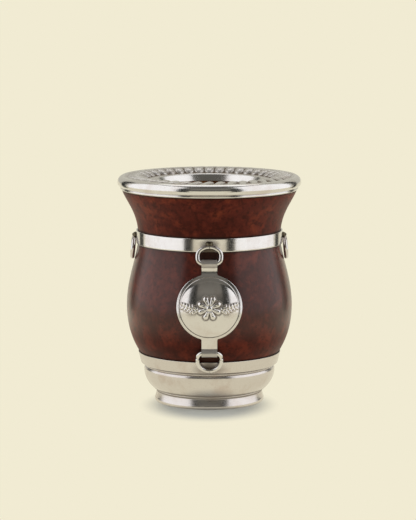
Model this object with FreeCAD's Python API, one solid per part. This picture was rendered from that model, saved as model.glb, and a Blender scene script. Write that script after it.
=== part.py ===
"""Mate cup: a calabash gourd with a chased nickel-silver rim, neck band, base cup and medallion.

Millimetres. The cup stands on Z = 0 with its axis on Z, and the medallion faces -Y.
"""

import FreeCAD
import Part
import math
import os

Vec = FreeCAD.Vector
origin = Vec(0, 0, 0)
x_axis = Vec(1, 0, 0)
z_axis = Vec(0, 0, 1)
full_turn = 360.0

# Gourd: outside
belly_radius = 40.7
belly_height = 47.5
waist_radius = 34.9
waist_height = 81.5
lip_radius = 43.0          # where the flare meets the rim's skirt
lip_height = 105.0
lip_flare = 19.3           # degrees from upright at the lip
bottom_reach = 24.0        # how far each curve runs on from its end before it turns
belly_reach_down = 24.0
belly_reach_up = 14.0
waist_reach_down = 9.0
waist_reach_up = 12.0
lip_reach = 7.0

# Gourd: inside
belly_wall = 6.3
neck_wall = 6.8
floor_wall = 8.5
hollow_reach = 20.0

# Sheet metal and the fits between the pieces
sheet = 0.9
seat_gap = 0.05            # cement line between metal and gourd
lay_gap = 0.25             # metal that lies over the gourd without touching it

# Rim
rim_radius = 45.0
rim_bulge_height = 108.35  # where the rolled edge is widest
rim_top = 111.35
rim_edge_radius = 42.9     # where the rolled edge meets the flat border
skirt_inset = 0.5          # the gourd is turned down this much under the skirt
bead_height = 1.1
bead_bulge = 0.25
crest_radius = 34.7
crest_height = 111.4
slope_foot_radius = 30.6
slope_foot_height = 109.1
sleeve_top_radius = 29.4
sleeve_radius = 27.5
sleeve_end = 105.7

# Chased border of the rim
lobe_count = 40
lobe_height = 0.75
lobe_head_radius = 4.4
lobe_tail_radius = 2.2
lobe_tail_at = 41.5
lobe_twist = -5.0          # degrees from head to tail
oval_radius = 2.0
oval_height = 0.6
oval_length = 1.5
oval_shift = 0.6           # from the middle of the inner slope towards its foot
border_room = 2.2          # height over the crest within which the lobes are cut from their rods

# Neck band
band_bottom = 78.4
band_top = 84.8
band_sheet = 0.8
band_edge = 0.2

# Base cup
collar_top = 24.75
collar_radius = 35.1
collar_taper = 1.2         # how much narrower the collar is at its rounded lower edge
collar_bottom = 19.0
collar_rounding = 0.8
bowl_radius = 32.2
bowl_top = 17.2
bowl_foot_radius = 27.3
bowl_bottom = 6.3
bowl_reach_top = 5.2
bowl_reach_foot = (2.5, 1.9)
rebate_depth = 1.85

# Foot ring
foot_radius = 27.0
foot_neck_radius = 26.2
foot_bead_height = 1.5
foot_wall = 2.0
foot_rounding = 0.4

# Medallion
disc_height = 52.4
disc_radius = 15.7
disc_margin = 1.5
groove_width = 0.35
groove_depth = 0.25
dome_radius = 28.4         # across; the dome is flatter up and down, as the belly is
dome_bow = 34.7
dome_rise = 1.2
dome_room = 3.6            # how far from the plate the dome is cut from its barrel
plate_sheet = 0.7
strap_width = 7.5
strap_blend = 0.8
upper_roll_height = 73.2
lower_roll_height = 30.2
roll_sheet = 0.6
roll_bore = 1.35           # radius inside the rolled ends of the strap
roll_run = 4.4             # height over which the strap swings out to its roll
roll_slit = 0.25
roll_slit_angle = 40.0     # degrees from level to the slit where the sheet ends

# Rosette and leaf sprays on the medallion
petal_count = 8
petal_inner = 1.7
petal_outer = 4.3
petal_radii = (0.75, 1.2)
petal_sink = 0.55          # how deep the middles of the rods lie under the dome
heart_radius = 1.45
leaf_count = 5
leaf_start = 5.6
leaf_step = 1.55
leaf_length = 2.6
leaf_radii = (1.0, 0.65)
leaf_angle = 38.0
leaf_root = (0.3, 0.5)     # share of a leaf's length along the stem, and distance to its side
leaf_shrink = 0.35         # how much smaller the leaves are at the tip of a spray
stem_radius = 0.75
stem_droop = 1.6

# Rings
wire_radius = 1.05
ring_half_width = 5.6      # to the middle of the wire
ring_shoulder = 3.6        # bend radius at the widest place
bar_corner = 2.6           # bend radius beside the straight bar that a strap is rolled round
ring_split = 0.35
upper_bar_drop = 3.6       # from the widest place of the ring to its bar
lower_bar_drop = 4.2
band_ring_top = 81.0       # middle of the wire where a ring is soldered to the band
side_ring_bottom = 71.3
collar_ring_bottom = 20.8
solder_radius = 1.8
solder_rise = 0.9

# Values that follow from those above
gourd_floor = bowl_bottom + sheet + seat_gap
skirt_radius = lip_radius - skirt_inset
gourd_top = slope_foot_height - sheet
collar_bore = collar_radius - sheet
roll_radius = roll_bore + roll_sheet
face_offset = lay_gap + plate_sheet
strap_half = strap_width / 2
fine = 0.01                # tolerance for picking edges by their place


def gourd_poles():
    """Poles of the three curves of the gourd's outside, from its bottom to its lip."""
    flare = math.radians(lip_flare)
    bottom = [(0, gourd_floor), (bottom_reach, gourd_floor),
              (belly_radius, belly_height - belly_reach_down), (belly_radius, belly_height)]
    middle = [(belly_radius, belly_height), (belly_radius, belly_height + belly_reach_up),
              (waist_radius, waist_height - waist_reach_down), (waist_radius, waist_height)]
    top = [(waist_radius, waist_height), (waist_radius, waist_height + waist_reach_up),
           (lip_radius - lip_reach * math.sin(flare), lip_height - lip_reach * math.cos(flare)),
           (lip_radius, lip_height)]
    return [bottom, middle, top]


def on_curve(poles, t):
    """Point of a cubic curve given by four poles."""
    weights = ((1 - t) ** 3, 3 * t * (1 - t) ** 2, 3 * t * t * (1 - t), t ** 3)
    return tuple(sum(w * p[k] for w, p in zip(weights, poles)) for k in (0, 1))


def gourd_radius(height):
    """Outside radius of the gourd at a height, by halving along the curve that spans it."""
    poles = next(p for p in gourd_poles() if height <= p[-1][1])
    low, high = 0.0, 1.0
    for _ in range(40):
        middle = (low + high) / 2
        if on_curve(poles, middle)[1] < height:
            low = middle
        else:
            high = middle
    return on_curve(poles, low)[0]


band_bore = max(gourd_radius(band_bottom), gourd_radius(band_top)) + seat_gap
band_outer = band_bore + band_sheet


def at(radius, height):
    """Point of the half section in the XZ plane."""
    return Vec(radius, 0, height)


def curve(poles, out=0.0):
    bezier = Part.BezierCurve()
    bezier.setPoles([at(r + out, h) for r, h in poles])
    return bezier.toShape()


def run(*points):
    """Straight edges through the points of a half section."""
    ends = [at(*p) for p in points]
    return [Part.makeLine(a, b) for a, b in zip(ends, ends[1:])]


def arc(start, through, end):
    return Part.Arc(at(*start), at(*through), at(*end)).toShape()


def bulge(widest, end):
    """Arc that runs straight up or down at its widest point and bends in to an end."""
    across, rise = widest[0] - end[0], end[1] - widest[1]
    radius = (across ** 2 + rise ** 2) / (2 * across)
    half = math.atan2(rise, radius - across) / 2
    centre = widest[0] - radius
    through = (centre + radius * math.cos(half), widest[1] + radius * math.sin(half))
    return arc(widest, through, end)


def turned(edges, angle=full_turn):
    """Solid of revolution from the edges of a half section, taken in order."""
    face = Part.Face(Part.Wire(Part.__sortEdges__(edges)))
    return face.revolve(origin, z_axis, angle)


def tube(inner, outer, bottom, top):
    height = top - bottom
    outside = Part.makeCylinder(outer, height, at(0, bottom))
    return outside.cut(Part.makeCylinder(inner, height, at(0, bottom)))


def bud(start, end, start_radius, end_radius):
    """Tapered rod with rounded ends, the unit of all the raised leaves and petals."""
    span = end - start
    if start_radius == end_radius:
        rod = Part.makeCylinder(start_radius, span.Length, start, span)
    else:
        rod = Part.makeCone(start_radius, end_radius, span.Length, start, span)
    ends = [Part.makeSphere(start_radius, start), Part.makeSphere(end_radius, end)]
    return rod.multiFuse(ends)


def gourd():
    """Calabash with a narrow neck and a wide belly, cut flat at the mouth for the rim."""
    bottom, middle, top = gourd_poles()
    neck_bore = waist_radius - neck_wall
    belly_bore = belly_radius - belly_wall
    floor = gourd_floor + floor_wall
    sleeve_bore = sleeve_radius + sheet + seat_gap
    mouth = sleeve_top_radius + sheet + seat_gap
    outside = [curve(bottom), curve(middle), curve(top)]
    lip = run((lip_radius, lip_height), (skirt_radius - seat_gap, lip_height),
              (skirt_radius - seat_gap, gourd_top), (mouth, gourd_top),
              (sleeve_bore, sleeve_end), (neck_bore, waist_height))
    chamber = [curve([(neck_bore, waist_height), (neck_bore, waist_height - waist_reach_down),
                      (belly_bore, belly_height + belly_reach_up), (belly_bore, belly_height)]),
               curve([(belly_bore, belly_height), (belly_bore, belly_height - hollow_reach),
                      (hollow_reach, floor), (0, floor)])]
    solid = turned(outside + lip + chamber + run((0, floor), (0, gourd_floor)))
    rebate = tube(collar_bore - seat_gap, collar_radius, collar_top - rebate_depth, collar_top)
    return solid.cut(rebate)


def rim_shell():
    """Formed sheet ring: skirt, rolled bulge, top, inner slope and the sleeve in the mouth."""
    skirt_outer = skirt_radius + sheet
    bead_top = lip_height + bead_height
    widest = (rim_radius, rim_bulge_height)
    inner_widest = (rim_radius - sheet, rim_bulge_height)
    inner_edge = (rim_edge_radius - sheet / 2, rim_top - sheet)
    outside = [arc((skirt_outer, lip_height), (skirt_outer + bead_bulge, lip_height + bead_height / 2),
                   (skirt_outer, bead_top)),
               bulge(widest, (skirt_outer, bead_top)), bulge(widest, (rim_edge_radius, rim_top))]
    outside += run((rim_edge_radius, rim_top), (crest_radius, crest_height),
                   (slope_foot_radius, slope_foot_height), (sleeve_top_radius, slope_foot_height),
                   (sleeve_radius, sleeve_end), (sleeve_radius + sheet, sleeve_end),
                   (sleeve_top_radius + sheet, gourd_top), (slope_foot_radius + sheet / 2, gourd_top),
                   (crest_radius + sheet / 2, crest_height - sheet), inner_edge)
    outside += [bulge(inner_widest, inner_edge), bulge(inner_widest, (skirt_radius, bead_top))]
    outside += run((skirt_radius, bead_top), (skirt_radius, lip_height), (skirt_outer, lip_height))
    return turned(outside)


def rim():
    """The rim with its chased border of slanted lobes and a row of ovals inside them."""
    middle = sheet / 2
    roof = crest_height + border_room
    border = turned(run(
        (rim_edge_radius, rim_top - middle), (crest_radius, crest_height - middle),
        (slope_foot_radius, slope_foot_height - middle), (slope_foot_radius, slope_foot_height),
        (slope_foot_radius, roof), (rim_edge_radius, roof),
        (rim_edge_radius, rim_top - middle)))
    head_at = crest_radius + lobe_height
    head = at(head_at, crest_height + lobe_height - lobe_head_radius)
    tail = at(lobe_tail_at, rim_top - lobe_tail_radius)
    tail = FreeCAD.Rotation(z_axis, lobe_twist).multVec(tail)
    lobe = bud(head, tail, lobe_head_radius, lobe_tail_radius)
    slope = math.atan2(crest_height - slope_foot_height, crest_radius - slope_foot_radius)
    along = at(math.cos(slope), math.sin(slope))
    normal = at(-math.sin(slope), math.cos(slope))
    oval_mid = (at(crest_radius, crest_height) + at(slope_foot_radius, slope_foot_height)) * 0.5
    oval_mid = oval_mid - normal * (oval_radius - oval_height) - along * oval_shift
    oval = bud(oval_mid - along * oval_length / 2, oval_mid + along * oval_length / 2,
               oval_radius, oval_radius)
    raised = []
    for shape in (lobe.common(border), oval.common(border)):
        for index in range(lobe_count):
            copy = shape.copy()
            copy.rotate(origin, z_axis, index * full_turn / lobe_count)
            raised.append(copy)
    return rim_shell().multiFuse(raised)


def neck_band():
    """Flat hoop round the waist with its edges eased."""
    return turned(run((band_bore, band_bottom), (band_outer - band_edge, band_bottom),
                      (band_outer, band_bottom + band_edge), (band_outer, band_top - band_edge),
                      (band_outer - band_edge, band_top), (band_bore, band_top),
                      (band_bore, band_bottom)))


def base_cup():
    """Spun cup: a collar with a rounded lower edge, a step, and a round bowl with a flat floor."""
    collar_foot = collar_radius - collar_taper
    round_end = collar_foot - collar_rounding
    shoulder = collar_bottom + collar_rounding
    corner = collar_rounding * math.sqrt(0.5)
    step_in = round_end - sheet
    bowl = [(bowl_radius, bowl_top), (bowl_radius, bowl_top - bowl_reach_top),
            (bowl_foot_radius + bowl_reach_foot[0], bowl_bottom + bowl_reach_foot[1]),
            (bowl_foot_radius, bowl_bottom)]
    inner_bowl = [(r, h) for r, h in bowl[:3]] + [(bowl_foot_radius, bowl_bottom + sheet)]
    outside = run((collar_bore, collar_top), (collar_radius - band_edge, collar_top),
                  (collar_radius, collar_top - band_edge), (collar_foot, shoulder))
    outside += [arc((collar_foot, shoulder),
                    (round_end + corner, shoulder - corner), (round_end, collar_bottom))]
    outside += run((round_end, collar_bottom), (step_in, collar_bottom - band_edge),
                   (bowl_radius, bowl_top))
    outside += [curve(bowl)]
    outside += run((bowl_foot_radius, bowl_bottom), (0, bowl_bottom), (0, bowl_bottom + sheet),
                   (bowl_foot_radius - sheet, bowl_bottom + sheet))
    outside += [curve(inner_bowl, -sheet)]
    outside += run((bowl_radius - sheet, bowl_top), (bowl_radius - sheet, collar_bottom),
                   (collar_bore - sheet, shoulder + sheet / 2),
                   (collar_bore, collar_top - rebate_depth), (collar_bore, collar_top))
    return turned(outside)


def foot_ring():
    """Cast ring under the bowl, waisted above a rounded bead."""
    inner = foot_neck_radius - foot_wall
    cove = (foot_neck_radius + foot_radius) / 2 - foot_rounding / 2
    return turned([arc((foot_neck_radius, bowl_bottom),
                       (foot_neck_radius + foot_rounding / 4, bowl_bottom / 2),
                       (cove, foot_bead_height + foot_rounding)),
                   arc((cove, foot_bead_height + foot_rounding), (foot_radius, foot_bead_height / 2),
                       (foot_radius - foot_rounding, 0))]
                  + run((foot_radius - foot_rounding, 0), (inner + foot_rounding, 0),
                        (inner, foot_rounding), (inner, bowl_bottom),
                        (foot_neck_radius, bowl_bottom)))


def skin(inner, outer):
    """Layer over the front of the gourd between two distances from it."""
    bottom, middle, _ = gourd_poles()
    layer = turned([curve(bottom, inner), curve(middle, inner), curve(bottom, outer),
                    curve(middle, outer)]
                   + run((inner, gourd_floor), (outer, gourd_floor))
                   + run((waist_radius + inner, waist_height), (waist_radius + outer, waist_height)),
                   full_turn / 4)
    layer.rotate(origin, z_axis, -full_turn * 3 / 8)
    return layer


def roll_centre(height):
    """Centre of a rolled strap end, laid against the gourd at a height."""
    return Vec(0, -(gourd_radius(height) + lay_gap + roll_radius), height)


def rolled_end(height, up):
    """Strap end that swings out from the gourd and rolls round a ring's bar."""
    centre = roll_centre(height)
    start_height = height - up * roll_run
    start = Vec(0, -(gourd_radius(start_height) + face_offset), start_height)
    reach = centre - start
    lift = math.asin(roll_radius / reach.Length)
    turn = FreeCAD.Rotation(x_axis, math.degrees(lift) * up)
    along = turn.multVec(reach)
    normal = Vec(0, -along.z, along.y) * (up / along.Length)
    outer_touch = centre + normal * roll_radius
    inner_touch = centre + normal * roll_bore
    corners = [start, outer_touch, inner_touch, start - normal * roll_sheet]
    tongue = Part.Face(Part.makePolygon(corners + [corners[0]])).extrude(x_axis * strap_width)
    left = centre - x_axis * strap_half
    tongue.translate(-x_axis * strap_half)
    eye = Part.makeCylinder(roll_radius, strap_width, left, x_axis)
    solid = eye.fuse(tongue)
    solid = solid.cut(Part.makeCylinder(roll_bore, strap_width, left, x_axis))
    slit = Part.makeBox(strap_width, roll_radius, roll_slit, left)
    slit.rotate(centre, x_axis, -roll_slit_angle * up)
    return solid.cut(slit)


def dome_place():
    """Where the middle of the dome's barrel lies and how it leans with the belly."""
    rise = gourd_radius(disc_height + 1) - gourd_radius(disc_height - 1)
    lean = math.atan(rise / 2)
    outward = Vec(0, -math.cos(lean), -math.sin(lean))
    face = Vec(0, -(gourd_radius(disc_height) + face_offset), disc_height)
    return FreeCAD.Placement(face + outward * (dome_rise - dome_radius),
                             FreeCAD.Rotation(x_axis, math.degrees(lean)))


def barrel(inset):
    """Solid whose front is the dome, drawn in by an inset."""
    bow = dome_bow - inset
    back = dome_bow - dome_radius
    half = math.sqrt(bow ** 2 - back ** 2)
    side = Part.Arc(at(0, -half), at(bow - back, 0), at(0, half)).toShape()
    solid = turned([side, Part.makeLine(at(0, half), at(0, -half))])
    solid.Placement = dome_place()
    return solid


def on_dome(across, up):
    """Point a little under the dome's surface, at offsets from the middle of the disc."""
    round_at = math.sqrt((dome_bow - petal_sink) ** 2 - up ** 2) - (dome_bow - dome_radius)
    depth = math.sqrt(round_at ** 2 - across ** 2)
    return dome_place().multVec(Vec(across, -depth, up))


def ornament():
    """Eight-petal rosette between two leaf sprays."""
    spot = on_dome
    raised = [Part.makeSphere(heart_radius, spot(0, 0))]
    for index in range(petal_count):
        angle = 2 * math.pi * (index + 0.5) / petal_count
        ends = [spot(r * math.cos(angle), r * math.sin(angle)) for r in (petal_inner, petal_outer)]
        raised.append(bud(*ends, *petal_radii))
    for side in (-1, 1):
        roots = []
        for index in range(leaf_count):
            across = leaf_start + index * leaf_step
            share = index / leaf_count
            up = -stem_droop * math.cos(math.pi * share) / 2
            roots.append((across, up))
            size = 1 - leaf_shrink * share
            for way in (-1, 1):
                angle = math.radians(leaf_angle * way)
                length = leaf_length * size
                tip = (across + length * math.cos(angle), up + length * math.sin(angle))
                root = (across + length * leaf_root[0], up + way * leaf_root[1])
                raised.append(bud(spot(side * root[0], root[1]), spot(side * tip[0], tip[1]),
                                  leaf_radii[0] * size, leaf_radii[1] * size))
        for near, far in zip(roots, roots[1:]):
            raised.append(bud(spot(side * near[0], near[1]), spot(side * far[0], far[1]),
                              stem_radius, stem_radius))
    return raised


def medallion():
    """Domed disc on a strap, one piece of sheet, rolled at both ends round the rings' bars."""
    lowest = lower_roll_height + roll_run - plate_sheet
    highest = upper_roll_height - roll_run + plate_sheet
    depth = 2 * belly_radius
    front = -depth
    y_axis = Vec(0, 1, 0)
    blank = Part.makeCylinder(disc_radius, depth, Vec(0, front, disc_height), y_axis)
    strip = Part.makeBox(strap_width, depth, highest - lowest, Vec(-strap_half, front, lowest))
    blank = blank.fuse(strip)
    joint_height = math.sqrt(disc_radius ** 2 - strap_half ** 2)
    corners = [e for e in blank.Edges
               if abs(e.tangentAt(e.FirstParameter).y) > 1 - fine
               and abs(abs(e.CenterOfMass.x) - strap_half) < fine
               and abs(abs(e.CenterOfMass.z - disc_height) - joint_height) < fine]
    blank = blank.makeFillet(strap_blend, corners)
    plate = skin(lay_gap, face_offset).common(blank)

    dome_edge = disc_radius - disc_margin

    def core(radius):
        return Part.makeCylinder(radius, depth, Vec(0, front, disc_height), y_axis)

    over_gourd = skin(lay_gap, face_offset + dome_room)
    solid = plate.fuse(barrel(0).common(core(dome_edge)).common(over_gourd))
    solid = solid.multiFuse(ornament())
    solid = solid.cut(barrel(plate_sheet).common(core(dome_edge - plate_sheet)))
    groove = core(dome_edge + groove_width).cut(core(dome_edge))
    solid = solid.cut(groove.common(skin(face_offset - groove_depth, face_offset + dome_rise)))
    ends = [rolled_end(upper_roll_height, 1), rolled_end(lower_roll_height, -1)]
    return solid.multiFuse(ends)


def ring_arc(radius_point, through, end):
    return Part.Arc(*[Vec(x, 0, z) for x, z in (radius_point, through, end)]).toShape()


def half_bow(height, split=ring_split):
    """Half of a ring's bow, from the widest place to the top: a shoulder and a flatter arc."""
    inset = ring_half_width - ring_shoulder
    crown = (inset ** 2 + height ** 2 - ring_shoulder ** 2) / (2 * (height - ring_shoulder))
    crown_z = height - crown
    meet = math.atan2(-crown_z, inset)
    join = (crown * math.cos(meet), crown_z + crown * math.sin(meet))
    halfway = (inset + ring_shoulder * math.cos(meet / 2), ring_shoulder * math.sin(meet / 2))
    gap = split / 2 / crown
    low, high = math.pi / 2 - gap, (meet + math.pi / 2) / 2
    top = (crown * math.cos(low), crown_z + crown * math.sin(low))
    mid = (crown * math.cos(high), crown_z + crown * math.sin(high))
    return [ring_arc((ring_half_width, 0), halfway, join), ring_arc(join, mid, top)]


def bar_end(drop):
    """Half of the ring below its widest place: a straight side, a corner and the straight bar."""
    corner = min(bar_corner, drop)
    inset = ring_half_width - corner
    diagonal = corner * math.sqrt(0.5)
    bottom = (inset, -drop)
    halfway = (inset + diagonal, corner - drop - diagonal)
    side = (ring_half_width, corner - drop)
    edges = [ring_arc(side, halfway, bottom), Part.makeLine(Vec(inset, 0, -drop), Vec(0, 0, -drop))]
    if drop > corner:
        edges.insert(0, Part.makeLine(Vec(ring_half_width, 0, 0), Vec(side[0], 0, side[1])))
    return edges


def mirrored(edges):
    return [e.mirror(origin, x_axis) for e in edges]


def wire_ring(half):
    """Split ring of round wire from one half of its middle line, in the XZ plane."""
    path = Part.Wire(Part.__sortEdges__(half + mirrored(half)))
    start = path.OrderedVertexes[0].Point
    edge = path.OrderedEdges[0]
    tangent = edge.tangentAt(edge.FirstParameter)
    section = Part.Wire(Part.makeCircle(wire_radius, start, tangent))
    return path.makePipeShell([section], True, True)


def hung(ring, rest, foot):
    """Leans a ring made with its top at the origin so that its top is at rest and it hangs to foot."""
    lean = math.degrees(math.atan2(rest.y - foot.y, rest.z - foot.z))
    ring.rotate(origin, x_axis, -lean)
    ring.translate(rest)
    return ring


def solder():
    """Lump of solder that holds a ring to the band, flat where it lies on the band."""
    middle = Vec(0, -band_outer, band_ring_top + solder_rise)
    return Part.makeSphere(solder_radius, middle).cut(Part.makeCylinder(band_outer, lip_height))


def band_ring_rest():
    return Vec(0, -(band_outer + wire_radius), band_ring_top)


def upper_ring():
    """Ring soldered to the band at its split, with the strap rolled round its bar."""
    rest = band_ring_rest()
    bar = roll_centre(upper_roll_height)
    bow = (rest - bar).Length - upper_bar_drop
    ring = wire_ring(half_bow(bow) + bar_end(upper_bar_drop))
    ring.translate(-z_axis * bow)
    return hung(ring, rest, bar).fuse(solder())


def lower_ring():
    """Ring with the strap rolled round its bar at the top, and its split soldered to the collar."""
    slope = collar_taper / (collar_top - collar_bottom - collar_rounding)
    radius = collar_radius - slope * (collar_top - collar_ring_bottom)
    rest = Vec(0, -(radius + seat_gap + wire_radius), collar_ring_bottom)
    bar = roll_centre(lower_roll_height)
    bow = (rest - bar).Length - lower_bar_drop
    ring = wire_ring(half_bow(bow) + bar_end(lower_bar_drop))
    ring.translate(-z_axis * bow)
    lean = math.degrees(math.atan2(rest.y - bar.y, bar.z - rest.z))
    ring.rotate(origin, x_axis, 180 + lean)
    ring.translate(rest)
    return ring


def side_ring(turn):
    """Ring soldered to the band at one side of the cup, hanging against the gourd."""
    rest = band_ring_rest()
    foot = Vec(0, -(gourd_radius(side_ring_bottom) + lay_gap + wire_radius), side_ring_bottom)
    bow = (rest - foot).Length / 2
    lower = [e.mirror(origin, z_axis) for e in half_bow(bow, 0)]
    ring = wire_ring(half_bow(bow) + lower)
    ring.translate(-z_axis * bow)
    ring = hung(ring, rest, foot).fuse(solder())
    ring.rotate(origin, z_axis, turn)
    return ring


def left_ring():
    return side_ring(-90)


def right_ring():
    return side_ring(90)


nodes = [gourd, rim, neck_band, base_cup, foot_ring, medallion,
         upper_ring, lower_ring, left_ring, right_ring]

os.makedirs("parts", exist_ok=True)
for make in nodes:
    shape = make()
    box = shape.optimalBoundingBox()
    print(make.__name__, "solids", len(shape.Solids), "valid", shape.isValid(),
          "volume", round(shape.Volume, 1),
          "box", [round(v, 2) for v in (box.XMin, box.YMin, box.ZMin, box.XMax, box.YMax, box.ZMax)])
    shape.exportStep("parts/" + make.__name__ + ".step")
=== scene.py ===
import bpy
import bmesh
import functools
import math
from mathutils import Matrix, Vector


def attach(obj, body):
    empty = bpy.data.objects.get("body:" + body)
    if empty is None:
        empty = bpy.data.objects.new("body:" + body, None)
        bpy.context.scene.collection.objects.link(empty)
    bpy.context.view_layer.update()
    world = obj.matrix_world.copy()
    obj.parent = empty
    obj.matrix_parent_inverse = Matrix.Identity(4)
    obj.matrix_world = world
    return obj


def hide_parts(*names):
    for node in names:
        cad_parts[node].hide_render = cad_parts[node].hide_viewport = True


# Mate cup: calabash gourd, chased nickel silver rim, neck band, base cup, foot, medallion and rings.
# Pieces are shaped in millimetres and brought to metres when they are finished.

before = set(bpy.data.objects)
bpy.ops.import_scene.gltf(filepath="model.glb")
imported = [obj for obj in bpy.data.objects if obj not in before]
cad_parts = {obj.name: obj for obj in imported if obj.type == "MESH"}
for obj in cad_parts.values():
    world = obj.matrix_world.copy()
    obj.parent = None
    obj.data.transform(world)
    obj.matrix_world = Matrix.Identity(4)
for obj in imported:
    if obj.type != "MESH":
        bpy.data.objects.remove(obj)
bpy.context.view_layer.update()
print("frame loaded:", sorted(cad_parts))

mm = 0.001
fullTurn = 2 * math.pi

# Camera: a long lens a little above the cup
view = {"lens": 156.37, "sensor": 36.0, "place": (-0.00066, -1.100, 0.2286), "pitch": 8.23}

camera = bpy.data.objects.new("camera", bpy.data.cameras.new("camera"))
camera.data.sensor_fit = "VERTICAL"
camera.data.sensor_height = view["sensor"]
camera.data.lens = view["lens"]
camera.location = view["place"]
camera.rotation_euler = (math.radians(90 - view["pitch"]), 0, 0)
bpy.context.scene.collection.objects.link(camera)
bpy.context.scene.camera = camera
print("camera placed")


class Signal:
    # an output socket that can be added, multiplied and so on
    def __init__(self, finish, socket):
        self.finish = finish
        self.socket = socket

    def math(self, operation, *values):
        return self.finish.add("ShaderNodeMath", {"operation": operation}, dict(enumerate(values)))

    def __add__(self, other):
        return self.math("ADD", self, other)

    def __sub__(self, other):
        return self.math("SUBTRACT", self, other)

    def __rsub__(self, other):
        return self.math("SUBTRACT", other, self)

    def __mul__(self, other):
        return self.math("MULTIPLY", self, other)

    def __truediv__(self, other):
        return self.math("DIVIDE", self, other)

    def __pow__(self, other):
        return self.math("POWER", self, other)

    __radd__ = __add__
    __rmul__ = __mul__

    def most(self, other):
        return self.math("MAXIMUM", self, other)

    def least(self, other):
        return self.math("MINIMUM", self, other)

    def between(self, low, high):
        # 0 below low, 1 above high, smooth in between
        settings = {"interpolation_type": "SMOOTHSTEP"}
        return self.finish.add("ShaderNodeMapRange", settings, {0: self, 1: low, 2: high})


class Finish:
    def __init__(self, tree):
        self.tree = tree
        tree.nodes.clear()

    def add(self, kind, settings=None, inputs=None, output=0):
        node = self.tree.nodes.new(kind)
        for key, value in (settings or {}).items():
            if key == "stops":
                self.setStops(node.color_ramp, value)
            else:
                setattr(node, key, value)
        for key, value in (inputs or {}).items():
            if isinstance(value, Signal):
                self.tree.links.new(value.socket, node.inputs[key])
            else:
                node.inputs[key].default_value = value
        return Signal(self, node.outputs[output]) if node.outputs else None

    def setStops(self, ramp, stops):
        while len(ramp.elements) < len(stops):
            ramp.elements.new(1.0)
        for element, (place, colour) in zip(ramp.elements, stops):
            element.position = place
            element.color = colour

    def mix(self, factor, first, second):
        # colours, by the factor of the second
        return self.add("ShaderNodeMix", {"data_type": "RGBA"}, {0: factor, 6: first, 7: second}, 2)

    def place(self, scale=(1, 1, 1), shift=(0, 0, 0)):
        point = self.add("ShaderNodeTexCoord", output="Object")
        return self.add("ShaderNodeMapping", {}, {"Vector": point, "Scale": scale, "Location": shift})

    def noise(self, scale, detail, stretch=(1, 1, 1), roughness=0.5, warp=0.0):
        inputs = {"Vector": self.place(stretch), "Scale": scale, "Detail": detail,
                  "Roughness": roughness, "Distortion": warp}
        return self.add("ShaderNodeTexNoise", {}, inputs)

    def ray(self, kind):
        return self.add("ShaderNodeLightPath", output=kind)

    def attribute(self, name):
        return self.add("ShaderNodeAttribute", {"attribute_name": name}, output="Fac")

    def bump(self, height, strength, distance):
        return self.add("ShaderNodeBump", {}, {"Height": height, "Strength": strength,
                                               "Distance": distance})


def newFinish(name):
    material = bpy.data.materials.new(name)
    material.use_nodes = True
    return material, Finish(material.node_tree)


def showFinish(finish, inputs):
    shader = finish.add("ShaderNodeBsdfPrincipled", {}, inputs)
    finish.add("ShaderNodeOutputMaterial", {}, {"Surface": shader})


# Finishes; a scale is roughly how many waves of the noise go to a metre
silver = {"clean": (0.725, 0.712, 0.705, 1), "warm": (0.56, 0.485, 0.45, 1),
          "tarnishAndShade": (0.15, 0.105, 0.062, 1),
          "cloudScale": 90, "speckScale": 900, "lineScale": 260, "dentScale": 75,
          "cloudWear": 0.45, "speckWear": 0.22, "dents": 0.35, "scratches": 0.010, "pits": 0.006,
          "cloudRough": 0.07, "lineRough": 0.06, "valleyRough": 0.45, "oxideAndShadeMatte": 0.85,
          "depth": 0.00035}


def silverFinish(name, stretch, roughness, wear):
    # polished nickel silver: cloudy tarnished patches, darkened valleys (oxide in the chased hollows,
    # painted shade round the rings, at the strap's crease and along the foot's bottom edge), wavy sheet
    # and fine polishing lines
    material, finish = newFinish(name)
    clouds = finish.noise(silver["cloudScale"], 4, roughness=0.6)
    specks = finish.noise(silver["speckScale"], 2)
    lines = finish.noise(silver["lineScale"], 3, stretch)
    dents = finish.noise(silver["dentScale"], 2)
    valley = finish.attribute("valley")
    soiled = clouds.between(0.45, 0.72) * silver["cloudWear"]
    soiled = (soiled + specks.between(0.60, 0.76) * silver["speckWear"] + wear).least(1.0)
    colour = finish.mix(soiled, silver["clean"], silver["warm"])
    # darkened by the mask: oxide in the chased hollows, and painted shade round the rings, at the
    # strap's crease and along the foot's bottom edge
    colour = finish.mix(valley.least(0.95), colour, silver["tarnishAndShade"])
    rough = roughness + clouds * silver["cloudRough"] + lines * silver["lineRough"]
    rough = rough + valley * silver["valleyRough"]
    height = dents * silver["dents"] + lines * silver["scratches"] + specks * silver["pits"]
    showFinish(finish, {"Base Color": colour, "Metallic": 1 - valley * silver["oxideAndShadeMatte"],
                        "Roughness": rough, "Normal": finish.bump(height, 0.5, silver["depth"])})
    return material


skin = {"deep": (0.032, 0.0056, 0.0036, 1), "red": (0.118, 0.0182, 0.0110, 1),
        "light": (0.250, 0.050, 0.0190, 1), "paintedShade": (0.012, 0.005, 0.003, 1),
        "mottleScale": 130, "blotchScale": 26, "fleckScale": 400, "poreScale": 1500,
        "flare": (0.080, 0.100),    # heights between which it grows lighter
        # seams and rings: where shade is painted on the gourd, along the metal's edges and behind the
        # two rings
        "seams": (0.0784, 0.0848, 0.02475, 0.105), "seamReach": (0.0002, 0.0013),
        "rings": (0.0765, 0.0268), "ringHalfWidth": 0.0062, "ringHalfHeight": 0.0068,
        "handledFrom": (0.032, 0.044), "handledTo": (0.074, 0.088),
        "wax": 0.60, "waxRoughness": 0.24, "sheen": 0.22, "sheenTint": (1, 0.36, 0.26, 1),
        "depth": 0.0003}


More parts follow.
